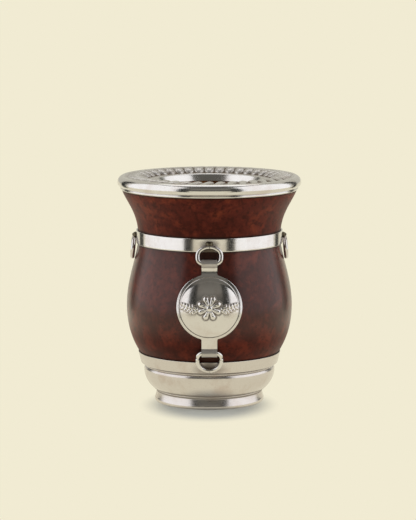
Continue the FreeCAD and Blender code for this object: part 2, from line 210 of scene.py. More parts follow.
def gourdFinish():
    # stained and waxed calabash: mottled red brown, dark flecks, polished by hands round the belly
    material, finish = newFinish("calabash")
    point = finish.add("ShaderNodeTexCoord", output="Object")
    across, deep, up = (finish.add("ShaderNodeSeparateXYZ", {}, {0: point}, i) for i in range(3))
    mottle = finish.noise(skin["mottleScale"], 6, (1, 1, 0.85), 0.66, 0.4)
    blotch = finish.noise(skin["blotchScale"], 3, (1, 1, 1.2))
    flecks = finish.noise(skin["fleckScale"], 4, roughness=0.66)
    pores = finish.noise(skin["poreScale"], 2)
    flare = up.between(*skin["flare"])
    tone = (mottle * 0.75 + blotch * 0.35 + flare * 0.08).between(0.36, 0.74)
    colour = finish.mix(tone, skin["deep"], skin["red"])
    glow = (mottle.between(0.46, 0.72) * (0.26 + flare * 0.54)).least(0.9)
    colour = finish.mix(glow, colour, skin["light"])
    colour = finish.mix(flecks.between(0.47, 0.64) * 0.74, colour, skin["deep"])
    # painted shade along the metal's edges and painted shadow behind the rings
    colour = finish.mix(gourdPaintedShade(across, deep, up).least(0.9), colour, skin["paintedShade"])
    handled = up.between(*skin["handledFrom"]) * (1 - up.between(*skin["handledTo"]))
    height = mottle * 0.5 + flecks * 0.18 + pores * 0.05
    showFinish(finish, {"Base Color": colour, "Roughness": 0.45 + mottle * 0.10,
                        "Specular IOR Level": skin["sheen"], "Specular Tint": skin["sheenTint"],
                        "Coat Weight": 0.05 + handled * (skin["wax"] + blotch * 0.3),
                        "Coat Roughness": skin["waxRoughness"], "Coat IOR": 1.45,
                        "Normal": finish.bump(height, 0.5, skin["depth"])})
    return material


def gourdPaintedShade(across, deep, up):
    # painted shade along the edges of the metal where it stands proud of the gourd, and painted shadow
    # behind the two rings in front
    shades = []
    for seam in skin["seams"]:
        gap = up - seam
        shades.append((1 - gap.math("ABSOLUTE", gap).between(*skin["seamReach"])) * 0.85)
    front = 1 - deep.between(-0.02, 0.0)
    for middle in skin["rings"]:
        rise = (up - middle) / skin["ringHalfHeight"]
        far = ((across / skin["ringHalfWidth"]) ** 2 + rise * rise).between(0.55, 1.5)
        shades.append((1 - far) * front * 0.8)
    return functools.reduce(Signal.most, shades)


bare = {"light": (0.60, 0.32, 0.10, 1), "dark": (0.30, 0.13, 0.04, 1), "tea": (0.10, 0.045, 0.015, 1),
        "fibreScale": 160, "fibreStretch": (1, 1, 0.25), "teaScale": 45}


def insideFinish():
    # the bare, tea-stained inside of the gourd
    material, finish = newFinish("gourdInside")
    fibres = finish.noise(bare["fibreScale"], 5, bare["fibreStretch"], 0.6)
    stain = finish.noise(bare["teaScale"], 3)
    colour = finish.mix(fibres.between(0.3, 0.7), bare["dark"], bare["light"])
    colour = finish.mix(stain.between(0.45, 0.7) * 0.6, colour, bare["tea"])
    showFinish(finish, {"Base Color": colour, "Roughness": 0.7 + fibres * 0.2,
                        "Normal": finish.bump(fibres, 0.6, 0.0005)})
    return material


grey = {"dark": (0.07, 0.055, 0.035, 1), "light": (0.22, 0.19, 0.13, 1), "lumpScale": 700}


def solderFinish():
    # dull grey-brown solder
    material, finish = newFinish("solder")
    lumps = finish.noise(grey["lumpScale"], 4)
    colour = finish.mix(lumps.between(0.35, 0.7), grey["dark"], grey["light"])
    showFinish(finish, {"Base Color": colour, "Metallic": 0.85, "Roughness": 0.42 + lumps * 0.2,
                        "Normal": finish.bump(lumps, 0.6, 0.0002)})
    return material


# The rim is polished on the lathe, the base cup and foot are duller from standing and wiping,
# and the band, medallion and rings are rubbed up and down
spunSilver = silverFinish("spunSilver", stretch=(1, 1, 14), roughness=0.10, wear=0.05)
wornSilver = silverFinish("wornSilver", stretch=(6, 6, 1), roughness=0.18, wear=0.42)
sheetSilver = silverFinish("sheetSilver", stretch=(9, 9, 1), roughness=0.09, wear=0.12)
calabash = gourdFinish()
gourdInside = insideFinish()
solder = solderFinish()
print("finishes made")


# Half sections, as points (radius, height)
def onCurve(poles, share):
    # point of a cubic curve given by four poles
    back = 1 - share
    weights = (back ** 3, 3 * share * back ** 2, 3 * share ** 2 * back, share ** 3)
    return tuple(sum(w * p[k] for w, p in zip(weights, poles)) for k in (0, 1))


def curve(poles, count):
    return [onCurve(poles, i / count) for i in range(count + 1)]


def arc(start, through, end, count):
    # points on the circle through three points
    ax, ay = start
    bx, by = through[0] - ax, through[1] - ay
    cx, cy = end[0] - ax, end[1] - ay
    twice = 2 * (bx * cy - by * cx)
    ux = (cy * (bx ** 2 + by ** 2) - by * (cx ** 2 + cy ** 2)) / twice
    uy = (bx * (cx ** 2 + cy ** 2) - cx * (bx ** 2 + by ** 2)) / twice
    radius = math.hypot(ux, uy)
    first = math.atan2(-uy, -ux)
    last = math.atan2(cy - uy, cx - ux)
    way = 1 if bx * cy - by * cx > 0 else -1
    sweep = (last - first) * way % fullTurn * way
    return [(ax + ux + radius * math.cos(first + sweep * i / count),
             ay + uy + radius * math.sin(first + sweep * i / count)) for i in range(count + 1)]


def line(start, end, count):
    return [tuple(a + (b - a) * i / count for a, b in zip(start, end)) for i in range(count + 1)]


def ease(value, low, high):
    # 0 below low, 1 above high, smooth in between
    share = max(0.0, min(1.0, (value - low) / (high - low)))
    return share * share * (3 - 2 * share)


def darkenByPlace(shape, spots, levels=()):
    # darkening by place, written to the mask the silver reads: painted shade in and round the rings and
    # along the foot's bottom edge, darker grooves, and a darker halo round the solder lump.
    # Spots on the front are (height, half width, half height, shade), levels all round are (height, half
    # height, shade)
    valley = shape.verts.layers.float.new("valley")
    for vertex in shape.verts:
        across, deep, up = vertex.co
        shades = [shade * (1 - ease(math.hypot(across / wide, (up - middle) / tall), 0.45, 1.3))
                  for middle, wide, tall, shade in spots if deep < 0]
        shades += [shade * (1 - ease(abs(up - middle) / half, 0.4, 1.0))
                   for middle, half, shade in levels]
        vertex[valley] = max(shades, default=0)


def eased(points, radius, count=3, least=20):
    # closed section with each corner sharper than least degrees rounded off
    done = []
    for index, point in enumerate(points):
        here = Vector(point)
        back = Vector(points[index - 1]) - here
        ahead = Vector(points[(index + 1) % len(points)]) - here
        turn = math.pi - back.angle(ahead)
        if math.degrees(turn) < least:
            done.append(point)
            continue
        reach = min(radius * math.tan(turn / 2), back.length * 0.45, ahead.length * 0.45)
        start = here + back.normalized() * reach
        end = here + ahead.normalized() * reach
        for step in range(count + 1):
            share = step / count
            bent = start * (1 - share) ** 2 + here * 2 * share * (1 - share) + end * share ** 2
            done.append((bent.x, bent.y))
    return done


mergeReach = 0.0005


def spun(points, steps, closed=True):
    # section in the XZ plane turned round Z; an open section runs from axis to axis
    shape = bmesh.new()
    corners = [shape.verts.new((radius, 0, height)) for radius, height in points]
    ends = corners[1:] + corners[:1] if closed else corners[1:]
    edges = [shape.edges.new(pair) for pair in zip(corners, ends)]
    bmesh.ops.spin(shape, geom=corners + edges, cent=(0, 0, 0), axis=(0, 0, 1),
                   angle=fullTurn, steps=steps, use_merge=True)
    bmesh.ops.remove_doubles(shape, verts=shape.verts, dist=mergeReach)
    bmesh.ops.recalc_face_normals(shape, faces=shape.faces)
    return shape


def finished(shape, name, node, materials, sharp=35):
    # millimetres to metres, smooth shading with sharp folds, riding on the cup
    bmesh.ops.scale(shape, vec=(mm, mm, mm), verts=shape.verts)
    for face in shape.faces:
        face.smooth = True
    for edge in shape.edges:
        if edge.is_manifold and edge.calc_face_angle(0) > math.radians(sharp):
            edge.smooth = False
    mesh = bpy.data.meshes.new(name)
    shape.to_mesh(mesh)
    shape.free()
    piece = bpy.data.objects.new(name, mesh)
    for material in materials:
        mesh.materials.append(material)
    bpy.context.scene.collection.objects.link(piece)
    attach(piece, "root")
    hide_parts(node)
    print(name, "faces", len(mesh.polygons))
    return piece


# Gourd
gourd = {"belly": (40.7, 47.5), "waist": (34.9, 81.5), "lip": (43.0, 105.0), "floor": 7.25,
         "bottomReach": 24.0, "bellyDown": 24.0, "bellyUp": 14.0, "waistDown": 9.0, "waistUp": 12.0,
         "lipPole": (40.69, 98.39), "skirt": 42.45, "top": 108.2, "mouth": (30.35, 28.45),
         "sleeveEnd": 105.7, "neckBore": 28.1, "bellyBore": 34.4, "insideFloor": 15.75,
         "insideReach": 20.0, "rebate": 34.15, "ledge": 22.9, "collarTop": 24.75,
         "cuts": {"low": 40, "middle": 26, "high": 24, "neck": 18, "chamber": 20}, "steps": 160}


def gourdPoles():
    belly, waist = gourd["belly"], gourd["waist"]
    low = [(0, gourd["floor"]), (gourd["bottomReach"], gourd["floor"]),
           (belly[0], belly[1] - gourd["bellyDown"]), belly]
    middle = [belly, (belly[0], belly[1] + gourd["bellyUp"]),
              (waist[0], waist[1] - gourd["waistDown"]), waist]
    high = [waist, (waist[0], waist[1] + gourd["waistUp"]), gourd["lipPole"], gourd["lip"]]
    return low, middle, high


@functools.lru_cache(None)
def gourdRadius(height):
    # outside radius, by halving along the curve that spans the height
    poles = next(p for p in gourdPoles() if height <= p[-1][1])
    low, high = 0.0, 1.0
    for _ in range(30):
        middle = (low + high) / 2
        low, high = (middle, high) if onCurve(poles, middle)[1] < height else (low, middle)
    return onCurve(poles, low)[0]


def makeGourd():
    low, middle, high = gourdPoles()
    cuts, bore, belly = gourd["cuts"], gourd["neckBore"], gourd["bellyBore"]
    bellyHeight, waistHeight = gourd["belly"][1], gourd["waist"][1]
    ledge, top = gourd["ledge"], gourd["collarTop"]
    bottom = curve(low, cuts["low"])
    outside = [p for p in bottom if p[1] < ledge]
    outside += [(gourdRadius(ledge), ledge), (gourd["rebate"], ledge), (gourd["rebate"], top),
                (gourdRadius(top), top)]
    outside += [p for p in bottom if p[1] > top + 0.3]
    outside += curve(middle, cuts["middle"])[1:] + curve(high, cuts["high"])[1:]
    mouth = [(gourd["skirt"], gourd["lip"][1]), (gourd["skirt"], gourd["top"]),
             (gourd["mouth"][0], gourd["top"]), (gourd["mouth"][1], gourd["sleeveEnd"])]
    neck = curve([(bore, waistHeight), (bore, waistHeight - gourd["waistDown"]),
                  (belly, bellyHeight + gourd["bellyUp"]), (belly, bellyHeight)], cuts["neck"])
    chamber = curve([(belly, bellyHeight), (belly, bellyHeight - gourd["insideReach"]),
                     (gourd["insideReach"], gourd["insideFloor"]), (0, gourd["insideFloor"])],
                    cuts["chamber"])[1:]
    shape = spun(outside + mouth + neck + chamber, gourd["steps"], closed=False)
    for face in shape.faces:
        centre = face.calc_center_median()
        inward = face.normal.dot(Vector((centre.x, centre.y, 0))) < 0
        face.material_index = int(inward or abs(centre.z - gourd["insideFloor"]) < 1)
    return finished(shape, "gourdShell", "gourd", [calabash, gourdInside])


# Rim
rim = {"skirt": 43.4, "skirtFoot": 105.0, "bead": 0.25, "beadTop": 106.1, "widest": (45.0, 108.35),
       "edge": (42.9, 111.35), "crest": (34.7, 111.4), "slopeFoot": (29.7, 108.9),
       "sleeveTop": (29.45, 108.55), "sleeve": (27.5, 105.7), "sheet": 0.9, "steps": 560,
       "cuts": {"bead": 6, "under": 8, "over": 14, "border": 34, "slope": 30, "sleeve": 6,
                "insideOver": 6, "insideUnder": 4}}
lobe = {"count": 40, "head": 35.45, "headTop": 112.15, "headRadius": 4.4, "wrap": 0.8, "tail": 41.5,
        "tailTop": 111.6, "tailRadius": 2.5, "twist": -5.0}
# Each pair is a stretch of radius over which the chasing starts, falls off or ends, or of lift,
# as a share of the peak, over which the valleys lighten and their cut ends
chasing = {"start": (29.9, 30.7), "end": (40.9, 42.3), "peak": 0.85, "peakFall": 0.55,
           "peakStretch": (33.0, 41.5), "shadeEnd": (38.6, 41.6), "shadeLift": (0.08, 0.62),
           "dull": 0.22, "dullFall": 0.12, "dullStretch": (33.5, 36.0), "dullEnd": (40.0, 42.2),
           "cut": 0.40, "cutLift": (0.0, 0.5), "cutStart": (30.3, 31.5), "cutEnd": (38.6, 41.0)}
eye = {"middle": 32.4, "half": 1.25, "wide": 1.5, "ring": 0.24, "depth": 0.06, "notch": (0.35, 0.9),
       "shade": 0.6}


def bulge(widest, end, count):
    # arc that is upright at its widest point and bends in to an end
    across, rise = widest[0] - end[0], end[1] - widest[1]
    radius = (across ** 2 + rise ** 2) / (2 * across)
    half = math.atan2(rise, radius - across) / 2
    centre = widest[0] - radius
    through = (centre + radius * math.cos(half), widest[1] + radius * math.sin(half))
    return arc(widest, through, end, count)


def sheetTop(radius):
    # height of the plain border, before it is chased
    foot, crest, edge = rim["slopeFoot"], rim["crest"], rim["edge"]
    low, high = (foot, crest) if radius < crest[0] else (crest, edge)
    return low[1] + (high[1] - low[1]) * (radius - low[0]) / (high[0] - low[0])


def lobeTop(radius, turn):
    # height of the nearest lobe: a tapered rod from its head at the crest to its tail
    twist = math.radians(lobe["twist"])
    head = Vector((lobe["head"], 0))
    tail = Vector((math.cos(twist), math.sin(twist))) * lobe["tail"]
    run = tail - head
    low = lobe["headTop"] - lobe["headRadius"]
    high = lobe["tailTop"] - lobe["tailRadius"]
    inward = max(0.0, lobe["head"] - radius) * (1 - lobe["wrap"])
    best = 0.0
    for side in (-1, 0, 1):
        angle = turn + side * fullTurn / lobe["count"]
        point = Vector((radius * math.cos(angle) + inward, radius * math.sin(angle)))
        along = max(0.0, min(1.0, (point - head).dot(run) / run.length_squared))
        size = lobe["headRadius"] + (lobe["tailRadius"] - lobe["headRadius"]) * along
        far = (point - head - run * along).length
        if far < size:
            best = max(best, low + (high - low) * along + math.sqrt(size ** 2 - far ** 2))
    return best


def chased(radius, turn):
    # how far the border stands up at a point, and how dark its valleys have grown
    lift = max(0.0, lobeTop(radius, turn) - sheetTop(radius)) * (1 - ease(radius, *chasing["end"]))
    zone = ease(radius, *chasing["start"])
    peak = chasing["peak"] - chasing["peakFall"] * ease(radius, *chasing["peakStretch"])
    shade = 1 - ease(lift / peak, *chasing["shadeLift"])
    shade *= zone * (1 - ease(radius, *chasing["shadeEnd"]))
    dull = chasing["dull"] - chasing["dullFall"] * ease(radius, *chasing["dullStretch"])
    dull *= zone * (1 - ease(radius, *chasing["dullEnd"]))
    across = turn * radius
    far = math.hypot((radius - eye["middle"]) / eye["half"], across / eye["wide"])
    ring = max(0.0, 1 - abs(far - 1) / eye["ring"])
    notchHalf, notchReach = eye["notch"]
    notch = max(0.0, 1 - abs(across) / notchHalf)
    notch *= max(0.0, 1 - abs(radius - eye["middle"]) / notchReach)
    lift -= eye["depth"] * ease(ring, 0, 1) * min(1.0, lift / 0.3)
    cut = chasing["cut"] * (1 - ease(lift / peak, *chasing["cutLift"]))
    lift -= cut * ease(radius, *chasing["cutStart"]) * (1 - ease(radius, *chasing["cutEnd"]))
    return lift, max(dull, shade, ring * eye["shade"], notch * eye["shade"])


def rimSection():
    cuts, sheet, skirt, beadTop = rim["cuts"], rim["sheet"], rim["skirt"], rim["beadTop"]
    widest, edge, crest, foot, low = (rim[key] for key in ("widest", "edge", "crest", "slopeFoot",
                                                           "skirtFoot"))
    bead = (skirt + rim["bead"], (low + beadTop) / 2)
    innerWidest, innerEdge = (widest[0] - sheet, widest[1]), (edge[0] - sheet / 2, edge[1] - sheet)
    section = arc((skirt, low), bead, (skirt, beadTop), cuts["bead"])
    section += bulge(widest, (skirt, beadTop), cuts["under"])[::-1][1:]
    section += bulge(widest, edge, cuts["over"])[1:]
    section += line(edge, crest, cuts["border"])[1:] + line(crest, foot, cuts["slope"])[1:]
    section += line(rim["sleeveTop"], rim["sleeve"], cuts["sleeve"])
    section += [(rim["sleeve"][0] + sheet, rim["sleeve"][1]), (foot[0] + sheet, foot[1] - sheet / 2),
                (crest[0] + sheet / 2, crest[1] - sheet)]
    section += bulge(innerWidest, innerEdge, cuts["insideOver"])[::-1]
    section += bulge(innerWidest, (skirt - sheet, beadTop), cuts["insideUnder"])[1:]
    return section + [(skirt - sheet, low)]


def makeRim():
    shape = spun(rimSection(), rim["steps"])
    valley = shape.verts.layers.float.new("valley")
    pitch = fullTurn / lobe["count"]
    known = {}    # the lobes are alike, so each place on a lobe is worked out once
    for vertex in shape.verts:
        radius = math.hypot(vertex.co.x, vertex.co.y)
        onBorder = rim["slopeFoot"][0] < radius < rim["edge"][0]
        if not onBorder or abs(vertex.co.z - sheetTop(radius)) > 0.05:
            continue
        turn = (math.atan2(vertex.co.y, vertex.co.x) / pitch + 0.5) % 1 * pitch - pitch / 2
        key = (round(radius, 2), round(turn, 4))
        if key not in known:
            known[key] = chased(radius, turn)
        vertex.co.z += known[key][0]
        vertex[valley] = known[key][1]
    return finished(shape, "rimChased", "rim", [spunSilver], 55)


# Neck band
band = {"bore": 35.15, "outer": 35.95, "bottom": 78.4, "top": 84.8, "easing": 0.25, "cuts": 14,
        # spots: a darker halo round the solder lump, and painted shade on the band inside the upper ring
        "steps": 400, "spots": [(82.0, 4.5, 2.6, 0.55), (78.9, 4.6, 2.2, 0.95)]}


def makeBand():
    low, high = band["bottom"], band["top"]
    corners = [(band["bore"], low), (band["outer"], low), (band["outer"], high), (band["bore"], high)]
    section = eased(corners, band["easing"])
    half = len(section) // 2
    section[half:half] = line(section[half - 1], section[half], band["cuts"])[1:-1]
    shape = spun(section, band["steps"])
    darkenByPlace(shape, band["spots"])
    return finished(shape, "neckBandRolled", "neck_band", [sheetSilver])


# Base cup and foot
base = {"collar": (35.1, 24.75), "collarFoot": (33.9, 19.8), "collarEnd": (33.1, 19.0),
        "neck": [(31.6, 18.6), (31.6, 17.75)], "shoulder": [(31.6, 17.65), (32.0, 17.0), (32.2, 16.0)],
        "bowlTop": (32.2, 15.8), "bowlPoles": ((32.2, 11.6), (29.8, 8.2)),
        "bowlFoot": (27.3, 6.3), "sheet": 0.9, "easing": 0.2, "steps": 400,
        "cuts": {"collar": 12, "round": 8, "shoulder": 8, "bowl": 22, "inside": 12},
        # spots: painted shade on the collar inside the lower ring and round it; levels: darker grooves
        # under the collar and where the bowl meets the foot
        "spots": [(22.9, 4.6, 2.2, 0.9), (21.0, 8.0, 3.2, 0.35)],
        "levels": [(18.5, 0.75, 0.8), (6.5, 0.8, 0.6)]}


def makeBase():
    cuts, sheet, collar, foot = base["cuts"], base["sheet"], base["collar"], base["bowlFoot"]
    collarFoot, collarEnd, bore = base["collarFoot"], base["collarEnd"], collar[0] - sheet
    bowl = [base["bowlTop"], *base["bowlPoles"], foot]
    outside = eased([(bore, collar[1]), collar, collarFoot], base["easing"])[4:9]
    outside += line(outside[-1], collarFoot, cuts["collar"])[1:]
    reach = (collarFoot[0] - collarEnd[0]) * math.sqrt(0.5)
    corner = (collarEnd[0] + reach, collarFoot[1] - reach)
    outside += arc(collarFoot, corner, collarEnd, cuts["round"])[1:]
    outside += base["neck"] + arc(*base["shoulder"], cuts["shoulder"]) + curve(bowl, cuts["bowl"])
    inside = [(r - sheet, h) for r, h in curve(bowl[:3] + [(foot[0], foot[1] + sheet)], cuts["inside"])]
    inside = inside[::-1] + [(base["bowlTop"][0] - sheet, collarEnd[1]),
                             (bore - sheet, collarFoot[1] + sheet / 2), (bore, gourd["ledge"])]
    shape = spun([(0, foot[1])] + outside[::-1] + inside[::-1] + [(0, foot[1] + sheet)],
                 base["steps"], closed=False)
    darkenByPlace(shape, base["spots"], base["levels"])
    return finished(shape, "baseCupSpun", "base_cup", [wornSilver])


footRing = {"neck": (25.9, 6.3), "ledge": [(26.3, 6.15), (26.45, 5.85), (26.3, 5.5), (26.05, 5.25)],
            "wall": [(26.05, 4.95), (26.35, 3.4), (26.75, 1.85)], "lip": [(26.92, 1.5), (26.92, 0.55)],
            "toe": (26.5, 0.0), "inner": 24.2, "rounding": 0.4, "steps": 200,
            # levels: a darker groove under the ledge, and painted shadow along the bottom edge where the
            # foot stands
            "levels": [(5.2, 0.45, 0.7), (0.05, 0.3, 0.6)], "cuts": 10}


def makeFoot():
    wall = footRing["wall"]
    outside = [footRing["neck"]] + footRing["ledge"] + arc(*wall, footRing["cuts"]) + footRing["lip"]
    inner, rounding = footRing["inner"], footRing["rounding"]
    section = outside + [footRing["toe"], (inner + rounding, 0), (inner, rounding),
                         (inner, footRing["neck"][1])]
    shape = spun(section, footRing["steps"])
    darkenByPlace(shape, [], footRing["levels"])
    return finished(shape, "footRingCast", "foot_ring", [wornSilver], 50)


# Medallion
medal = {"height": 52.4, "radius": 15.7, "margin": 1.5, "groove": 0.35, "grooveDepth": 0.3,
         "grooveShade": 0.55, "domeAcross": 28.4, "domeBow": 34.7, "rise": 1.2, "lay": 0.25,
         "offset": 0.95, "sheet": 0.6, "easing": 0.09, "spokes": 240, "domeRings": 64, "marginRings": 4}
strap = {"half": 3.75, "blend": 0.8, "upperRoll": 73.2, "lowerRoll": 30.2, "rollRadius": 1.95,
         "swing": 0.7, "rollTurn": 335, "blendRows": 6, "rows": 18, "rollRows": 36,
         # creaseShade and rollShade are painted shade on the row where the strap turns into its roll and
         # on the roll's first row
         "creaseShade": 0.9, "rollShade": 0.35}
# A petal, leaf or stem is a rod: (start radius, end radius, height, vein)
spray = {"petals": 8, "petalReach": (2.2, 4.5), "petal": (0.95, 1.3, 0.8, 0.3),
         "leaves": 5, "leafStart": 5.6, "leafStep": 1.55, "leafLength": 2.9, "leafAngle": 38,
         "leafRoot": (0.78, 0.5), "leaf": (1.0, 0.55, 0.62, 0.22), "shrink": 0.35, "droop": 0.8,
         "stem": (0.5, 0.45, 0.40, 0.0), "heart": 1.5, "heartHeight": 0.85, "heartEdge": 0.12,
         "veinHalf": 0.16, "boldness": 1.15, "outline": 0.75, "farthest": 5}


def rollCentre(height):
    # where the bar of a ring lies against the gourd
    return Vector((0, -(gourdRadius(height) + medal["lay"] + strap["rollRadius"]), height))


@functools.lru_cache(None)
def domePlace():
    # axis of the dome's barrel, and the cosine and sine of its lean
    lean = math.atan((gourdRadius(medal["height"] + 1) - gourdRadius(medal["height"] - 1)) / 2)
    outward = Vector((0, -math.cos(lean), -math.sin(lean)))
    middle = Vector((0, -(gourdRadius(medal["height"]) + medal["offset"]), medal["height"]))
    middle += outward * (medal["rise"] - medal["domeAcross"])
    return middle, math.cos(lean), math.sin(lean)


def domeFace(across, height):
    # y of the dome's front, a barrel that leans with the belly
    middle, cosine, sine = domePlace()
    up = height - medal["height"]
    for _ in range(3):
        bowed = math.sqrt(medal["domeBow"] ** 2 - up ** 2) - medal["domeBow"] + medal["domeAcross"]
        out = -math.sqrt(bowed ** 2 - across ** 2)
        up += height - (middle.z + out * sine + up * cosine)
    return middle.y + out * cosine - up * sine


def plateFace(across, height):
    # y of the flat sheet's front, which follows the gourd
    return -math.sqrt((gourdRadius(height) + medal["offset"]) ** 2 - across ** 2)


def rod(point, start, end, startRadius, endRadius):
    # distance from a tapered rod as a share of its radius, and how far along it the point lies
    run = end - start
    along = max(0.0, min(1.0, (point - start).dot(run) / run.length_squared))
    radius = startRadius + (endRadius - startRadius) * along
    return (point - start - run * along).length / radius, along


def reliefRods():
    # petals, leaves and stems as (start, end, start radius, end radius, height, vein)
    rods = []
    for index in range(spray["petals"]):
        angle = fullTurn * (index + 0.5) / spray["petals"]
        ray = Vector((math.cos(angle), math.sin(angle)))
        near, far = spray["petalReach"]
        rods.append((ray * near, ray * far, *spray["petal"]))
    angle = math.radians(spray["leafAngle"])
    along, out = spray["leafRoot"]
    for side in (-1, 1):
        roots = []
        for index in range(spray["leaves"]):
            share = index / spray["leaves"]
            root = Vector((side * (spray["leafStart"] + index * spray["leafStep"]),
                           -spray["droop"] * math.cos(math.pi * share)))
            roots.append(root)
            size = 1 - spray["shrink"] * share
            first, last, height, vein = spray["leaf"]
            for way in (-1, 1):
                tip = Vector((side * math.cos(angle), way * math.sin(angle)))
                start = root + Vector((side * along * size, way * out))
                end = root + tip * spray["leafLength"] * size
                rods.append((start, end, first * size, last * size, height, vein))
        for near, far in zip(roots, roots[1:]):
            rods.append((near, far, *spray["stem"]))
    return rods


def medalRelief(across, up, rods):
    # chased relief on the dome, and the shade left beside it
    point = Vector((across, up))
    lift, shade = 0.0, 0.0
    heart = point.length / spray["heart"]
    if heart < 1:
        lift = spray["heartHeight"] * math.sqrt(1 - heart ** 2) + spray["heartEdge"]
    for start, end, first, last, height, vein in rods:
        if (point - start).length > spray["farthest"]:
            continue
        far, along = rod(point, start, end, first, last)
        if far < 1:
            crease = math.exp(-(far / spray["veinHalf"]) ** 2) * math.sin(math.pi * min(1, 0.15 + along))
            lift = max(lift, height * math.sqrt(1 - far ** 2) - vein * crease)
        elif far < 1 + spray["outline"]:
            shade = max(shade, (1 + spray["outline"] - far) / spray["outline"])
    return lift * spray["boldness"], (shade if lift < 0.25 else 0.0)


def medalDisc():
    # flat disc of fine rings, with four close ones for the groove
    edge, groove = medal["radius"] - medal["margin"], medal["groove"]
    rings = [edge * i / medal["domeRings"] for i in range(medal["domeRings"] + 1)]
    rings += [edge + 0.05, edge + groove / 2, edge + groove - 0.05, edge + groove + 0.05]
    last, count = rings[-1], medal["marginRings"]
    rings += [last + (medal["radius"] - last) * i / count for i in range(1, count + 1)]
    shape = bmesh.new()
    corners = [shape.verts.new((0, 0, radius)) for radius in rings]
    edges = [shape.edges.new(pair) for pair in zip(corners, corners[1:])]
    bmesh.ops.spin(shape, geom=corners + edges, cent=(0, 0, 0), axis=(0, 1, 0),
                   angle=fullTurn, steps=medal["spokes"], use_merge=True)
    bmesh.ops.remove_doubles(shape, verts=shape.verts, dist=mergeReach)
    return shape


def makeMedallion():
    rods = reliefRods()
    edge, groove = medal["radius"] - medal["margin"], medal["groove"]
    shape = medalDisc()
    valley = shape.verts.layers.float.new("valley")
    rows = [stripRow(shape, way) for way in (1, -1)]
    for vertex in shape.verts:
        across, up = vertex.co.x, vertex.co.z
        radius = math.hypot(across, up)
        height = medal["height"] + up
        front = plateFace(across, height)
        if radius < edge + 0.01:
            lift, shade = medalRelief(across, up, rods)
            front = min(front, domeFace(across, height)) - lift
            vertex[valley] = shade
        elif radius < edge + groove + 0.01:
            front += medal["grooveDepth"] if abs(radius - edge - groove / 2) < 0.15 else 0.0
            vertex[valley] = medal["grooveShade"]
        vertex.co = (across, front, height)
    for way, row in zip((1, -1), rows):
        rollStrap(shape, row, way, valley)
    bmesh.ops.recalc_face_normals(shape, faces=shape.faces)
    foremost = min(shape.faces, key=lambda face: face.calc_center_median().y)
    if foremost.normal.y > 0:
        bmesh.ops.reverse_faces(shape, faces=shape.faces)
    piece = finished(shape, "medallionChased", "medallion", [sheetSilver], 80)
    wall = piece.modifiers.new("sheet", "SOLIDIFY")
    wall.thickness = medal["sheet"] * mm
    wall.offset = -1
    wall.use_even_offset = False
    easing = piece.modifiers.new("easedEdges", "BEVEL")
    easing.width = medal["easing"] * mm
    easing.segments = 2
    easing.limit_method = "ANGLE"
    easing.angle_limit = math.radians(70)
    return piece


def stripRow(shape, way):
    # edges of the disc's rim from which the strap grows, upwards or downwards
    limit = math.asin((strap["half"] + strap["blend"]) / (medal["radius"] + strap["blend"]))
    return [e for e in shape.edges if e.is_boundary
            and all(abs(math.atan2(v.co.x, v.co.z * way)) < limit for v in e.verts)]


def grow(shape, row, place):
    # one more row of the sheet, each new corner put where place says from its share across
    new = bmesh.ops.extrude_edge_only(shape, edges=row)["geom"]
    corners = [g for g in new if isinstance(g, bmesh.types.BMVert)]
    half = max(abs(v.co.x) for v in corners)
    for corner in corners:
        corner.co = place(corner.co.x / half)
    return [g for g in new if isinstance(g, bmesh.types.BMEdge) and all(v in corners for v in g.verts)]


def darken(row, valley, shade):
    # writes a row's painted shade into the darkening mask
    for edge in row:
        for vertex in edge.verts:
            vertex[valley] = shade


def rollStrap(shape, row, way, valley):
    half, blend, radius, middle = strap["half"], strap["blend"], medal["radius"], medal["height"]
    # the corners where the disc runs into the strap
    meet = math.sqrt((radius + blend) ** 2 - (half + blend) ** 2)
    touch = (half + blend) * radius / (radius + blend)
    low = math.sqrt(radius ** 2 - touch ** 2)
    for step in range(1, strap["blendRows"] + 1):
        share = step / strap["blendRows"]
        side = low + (meet - low) * share
        wide = half + blend - math.sqrt(max(0.0, blend ** 2 - (meet - side) ** 2))

        def onBlend(across):
            first = math.sqrt(radius ** 2 - (across * touch) ** 2)
            height = middle + way * (first + (meet - first) * share)
            return across * wide, plateFace(across * wide, height), height
        row = grow(shape, row, onBlend)
    # up or down the belly to the crease, swinging out a little
    centre = rollCentre(strap["upperRoll"] if way > 0 else strap["lowerRoll"])
    behind = medal["lay"] + strap["rollRadius"] - medal["offset"] - strap["swing"]
    crease = math.sqrt(strap["rollRadius"] ** 2 - behind ** 2)
    first, last = middle + way * meet, centre.z - way * crease
    for step in range(1, strap["rows"] + 1):
        share = step / strap["rows"]
        height = first + (last - first) * share
        out = strap["swing"] * share ** 2

        def onBelly(across):
            return across * half, plateFace(across * half, height) - out, height
        row = grow(shape, row, onBelly)
    # painted shade along the crease where the strap turns into the roll
    darken(row, valley, strap["creaseShade"])
    # round the bar
    start = Vector((0, behind, -way * crease))
    for step in range(1, strap["rollRows"] + 1):
        angle = math.radians(strap["rollTurn"]) * step / strap["rollRows"]
        spot = centre + Matrix.Rotation(-way * angle, 3, "X") @ start

        def onRoll(across):
            return across * half, spot.y, spot.z
        row = grow(shape, row, onRoll)
        if step == 1:
            # painted shade on the roll's first row
            darken(row, valley, strap["rollShade"])


# Rings
ring = {"wire": 1.05, "half": 5.6, "shoulder": 3.6, "corner": 2.6, "split": 0.35, "upperDrop": 3.6,
        "lowerDrop": 4.2, "bandTop": 81.0, "sideFoot": 71.3, "collarFoot": 20.8, "clear": 0.05}
lump = {"radius": 1.8, "rise": 1.3, "form": (1.15, 1, 0.75), "wobble": 0.10, "waves": (2.1, 1.3, 1.7)}


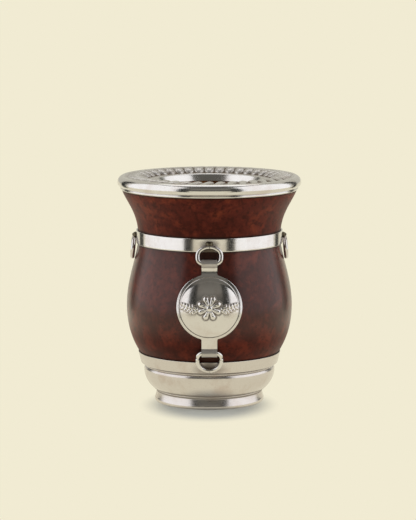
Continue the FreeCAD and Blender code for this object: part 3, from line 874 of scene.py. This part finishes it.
def halfBow(height, count=9):
    # from the widest place of the ring to the middle of its bow
    inset = ring["half"] - ring["shoulder"]
    crown = (inset ** 2 + height ** 2 - ring["shoulder"] ** 2) / (2 * (height - ring["shoulder"]))
    meet = math.atan2(crown - height, inset)
    shoulder = [(inset + ring["shoulder"] * math.cos(meet * i / count),
                 ring["shoulder"] * math.sin(meet * i / count)) for i in range(count)]
    rest = math.pi / 2 - meet
    return shoulder + [(crown * math.cos(meet + rest * i / count),
                        height - crown + crown * math.sin(meet + rest * i / count))
                       for i in range(count + 1)]


def barEnd(drop, count=8):
    # from the middle of the straight bar round its corner to the widest place
    corner = min(ring["corner"], drop)
    inset = ring["half"] - corner
    turn = [-math.pi / 2 * (1 - i / count) for i in range(count + 1)]
    return [(0, -drop)] + [(inset + corner * math.cos(a), corner - drop + corner * math.sin(a))
                           for a in turn]


def bentWire(name, points, closed):
    # round wire along a path, as a mesh
    wire = bpy.data.curves.new(name, "CURVE")
    wire.dimensions = "3D"
    wire.bevel_depth = ring["wire"]
    wire.bevel_resolution = 7
    wire.use_fill_caps = True
    spline = wire.splines.new("POLY")
    spline.points.add(len(points) - 1)
    for spot, point in zip(spline.points, points):
        spot.co = (*point, 1)
    spline.use_cyclic_u = closed
    holder = bpy.data.objects.new(name, wire)
    bpy.context.scene.collection.objects.link(holder)
    mesh = bpy.data.meshes.new_from_object(holder.evaluated_get(bpy.context.evaluated_depsgraph_get()))
    bpy.data.objects.remove(holder)
    shape = bmesh.new()
    shape.from_mesh(mesh)
    bmesh.ops.remove_doubles(shape, verts=shape.verts, dist=0.001)
    bmesh.ops.recalc_face_normals(shape, faces=shape.faces)
    return shape


def makeRing(name, node, top, foot, drop, solderAt=None, turn=0):
    # a ring from the point top, where it is soldered, to foot, which is its bar if it has one
    span = (top - foot).length
    bow = span - drop if drop else span / 2
    start = barEnd(drop) if drop else [(x, -z) for x, z in halfBow(bow)][::-1]
    half = start[:-1] + halfBow(bow)
    if drop:
        half[-1] = (ring["split"] / 2, half[-1][1])
    path = [(-x, z) for x, z in half[:0:-1]] + half
    if not drop:
        path = path[1:]
    up = (top - foot).normalized()
    points = [top + Vector((x, 0, 0)) + up * (z - bow) for x, z in path]
    shape = bentWire(name, points, not drop)
    if solderAt is not None:
        addSolder(shape, solderAt)
    bmesh.ops.rotate(shape, cent=(0, 0, 0), matrix=Matrix.Rotation(math.radians(turn), 3, "Z"),
                     verts=shape.verts)
    return finished(shape, name, node, [sheetSilver, solder], 60)


def addSolder(shape, middle):
    # an uneven lump of solder, flat where it lies on the band
    before = set(shape.faces)
    ball = bmesh.ops.create_icosphere(shape, subdivisions=4, radius=lump["radius"])["verts"]
    form = Matrix.Diagonal(lump["form"])
    first, shift, second = lump["waves"]
    for vertex in ball:
        wobble = math.sin(first * vertex.co.x + shift) * math.cos(second * vertex.co.z) * lump["wobble"]
        vertex.co = form @ vertex.co * (1 + wobble) + middle
        vertex.co.y = min(vertex.co.y, -math.sqrt(max(0.0, band["outer"] ** 2 - vertex.co.x ** 2)))
    for face in set(shape.faces) - before:
        face.material_index = 1


def makeRings():
    bandRest = Vector((0, -(band["outer"] + ring["wire"]), ring["bandTop"]))
    solderAt = Vector((0, -band["outer"], ring["bandTop"] + lump["rise"]))
    makeRing("upperRingWire", "upper_ring", bandRest, rollCentre(strap["upperRoll"]),
             ring["upperDrop"], solderAt)
    collar, foot = base["collar"], base["collarFoot"]
    slope = (collar[0] - foot[0]) / (collar[1] - foot[1])
    radius = collar[0] - slope * (collar[1] - ring["collarFoot"])
    collarRest = Vector((0, -(radius + ring["clear"] + ring["wire"]), ring["collarFoot"]))
    makeRing("lowerRingWire", "lower_ring", collarRest, rollCentre(strap["lowerRoll"]),
             ring["lowerDrop"])
    hang = Vector((0, -(gourdRadius(ring["sideFoot"]) + medal["lay"] + ring["wire"]), ring["sideFoot"]))
    for side, turn in (("left", -90), ("right", 90)):
        makeRing(side + "RingWire", side + "_ring", bandRest, hang, None, solderAt, turn)


makeGourd()
makeRim()
makeBand()
makeBase()
makeFoot()
makeMedallion()
makeRings()
print("pieces made")


# Studio: a cream floor and background, two tall soft lights beside the cup and one over it, a room
# that dims upwards in front, and dark cards that only the metal and the wax reflect
studio = {"cream": (0.880, 0.831, 0.651, 1), "paper": (0.66, 0.68, 0.65, 1), "radius": 25.0,
          "fade": (0.023, 0.044), "sheen": (0.010, 0.026), "forward": 0.014, "narrow": 1.25,
          "back": (0.60, 0.58, 0.50, 1), "backFrom": (0.15, 0.55), "card": (0.042, 0.042, 0.038, 1),
          "room": [(0.0, (0.085, 0.084, 0.073, 1)), (0.22, (0.10, 0.098, 0.085, 1)),
                   (0.44, (0.24, 0.225, 0.195, 1)), (0.62, (0.19, 0.18, 0.155, 1)),
                   (0.85, (0.12, 0.115, 0.10, 1))]}
# Cards: name, first and last angle from the front, distance from the axis, height
cards = [("frontLeft", -38, -24, 0.30, 0.30), ("frontRight", 25, 37, 0.30, 0.30),
         ("rearLeft", -135, -120, 0.30, 0.30), ("rearRight", 120, 133, 0.30, 0.30),
         ("behindLeft", -118, -38, 0.565, 0.88), ("behindRight", 39, 119, 0.565, 0.88)]
# Lamps: name, angle from the front, distance, width and height of the light, radiance, height, lean
lamps = [("leftSoft", -78, 0.42, (0.70, 0.90), 1.22, 0.43, 0),
         ("rightSoft", 79, 0.42, (0.68, 0.90), 1.22, 0.43, 0),
         ("overhead", 180, 0.25, (0.9, 0.6), 1.0, 1.05, 78)]


def stagePiece(name, shape, material):
    mesh = bpy.data.meshes.new(name)
    shape.to_mesh(mesh)
    shape.free()
    piece = bpy.data.objects.new(name, mesh)
    bpy.context.scene.collection.objects.link(piece)
    mesh.materials.append(material)
    return piece


def makeFloor():
    # paper that takes the shadow near the cup and fades to the cream of the background
    shape = bmesh.new()
    bmesh.ops.create_circle(shape, cap_ends=True, segments=96, radius=studio["radius"])
    material, finish = newFinish("paperFloor")
    spread = finish.place((studio["narrow"], 1, 1), (0, studio["forward"], 0))
    far = finish.add("ShaderNodeVectorMath", {"operation": "LENGTH"}, {0: spread}, "Value")
    seen = (finish.ray("Is Camera Ray") + finish.ray("Is Transmission Ray")).least(1.0)
    seen = seen * far.between(*studio["fade"])
    seen = seen + finish.ray("Is Glossy Ray") * far.between(*studio["sheen"])
    paper = finish.add("ShaderNodeBsdfDiffuse", {}, {"Color": studio["paper"]})
    glow = finish.add("ShaderNodeEmission", {}, {"Color": studio["cream"]})
    surface = finish.add("ShaderNodeMixShader", {}, {0: seen, 1: paper, 2: glow})
    finish.add("ShaderNodeOutputMaterial", {}, {"Surface": surface})
    stagePiece("floor", shape, material)


def around(angle, distance, height):
    # a place at an angle from the front, round the cup's axis
    turn = math.radians(angle)
    return Vector((distance * math.sin(turn), -distance * math.cos(turn), height))


def makeCard(name, first, last, away, height):
    # a dark card standing on the floor, seen only in reflections
    material, finish = newFinish(name)
    dark = finish.add("ShaderNodeBsdfDiffuse", {}, {"Color": studio["card"]})
    finish.add("ShaderNodeOutputMaterial", {}, {"Surface": dark})
    shape = bmesh.new()
    edge = shape.edges.new([shape.verts.new(around(angle, away, 0)) for angle in (first, last)])
    new = bmesh.ops.extrude_edge_only(shape, edges=[edge])["geom"]
    top = [g for g in new if isinstance(g, bmesh.types.BMVert)]
    bmesh.ops.translate(shape, vec=(0, 0, height), verts=top)
    card = stagePiece(name, shape, material)
    card.visible_camera = False
    card.visible_diffuse = False
    card.visible_shadow = False


def makeRoom():
    world = bpy.data.worlds.new("room")
    bpy.context.scene.world = world
    world.use_nodes = True
    finish = Finish(world.node_tree)
    way = finish.add("ShaderNodeTexCoord", output="Generated")
    back = finish.add("ShaderNodeSeparateXYZ", {}, {0: way}, 1)
    up = finish.add("ShaderNodeSeparateXYZ", {}, {0: way}, 2)
    dim = finish.add("ShaderNodeValToRGB", {"stops": studio["room"]}, {0: up})
    room = finish.mix(back.between(*studio["backFrom"]), dim, studio["back"])
    colour = finish.mix(finish.ray("Is Camera Ray"), room, studio["cream"])
    surface = finish.add("ShaderNodeBackground", {}, {"Color": colour, "Strength": 1.0})
    finish.add("ShaderNodeOutputWorld", {}, {"Surface": surface})


def softLight(name, angle, distance, size, radiance, height, lean):
    # a soft light turned to the cup's axis and leant over it
    lamp = bpy.data.lights.new(name, "AREA")
    lamp.shape = "RECTANGLE"
    lamp.size, lamp.size_y = size
    lamp.energy = radiance * math.pi * size[0] * size[1]
    light = bpy.data.objects.new(name, lamp)
    light.location = around(angle, distance, height)
    light.rotation_euler = (math.radians(90 - lean), 0, math.radians(angle))
    light.visible_camera = False
    bpy.context.scene.collection.objects.link(light)


makeFloor()
for row in cards:
    makeCard(*row)
makeRoom()
for row in lamps:
    softLight(*row)
bpy.context.scene.view_settings.view_transform = "Standard"
print("studio made")
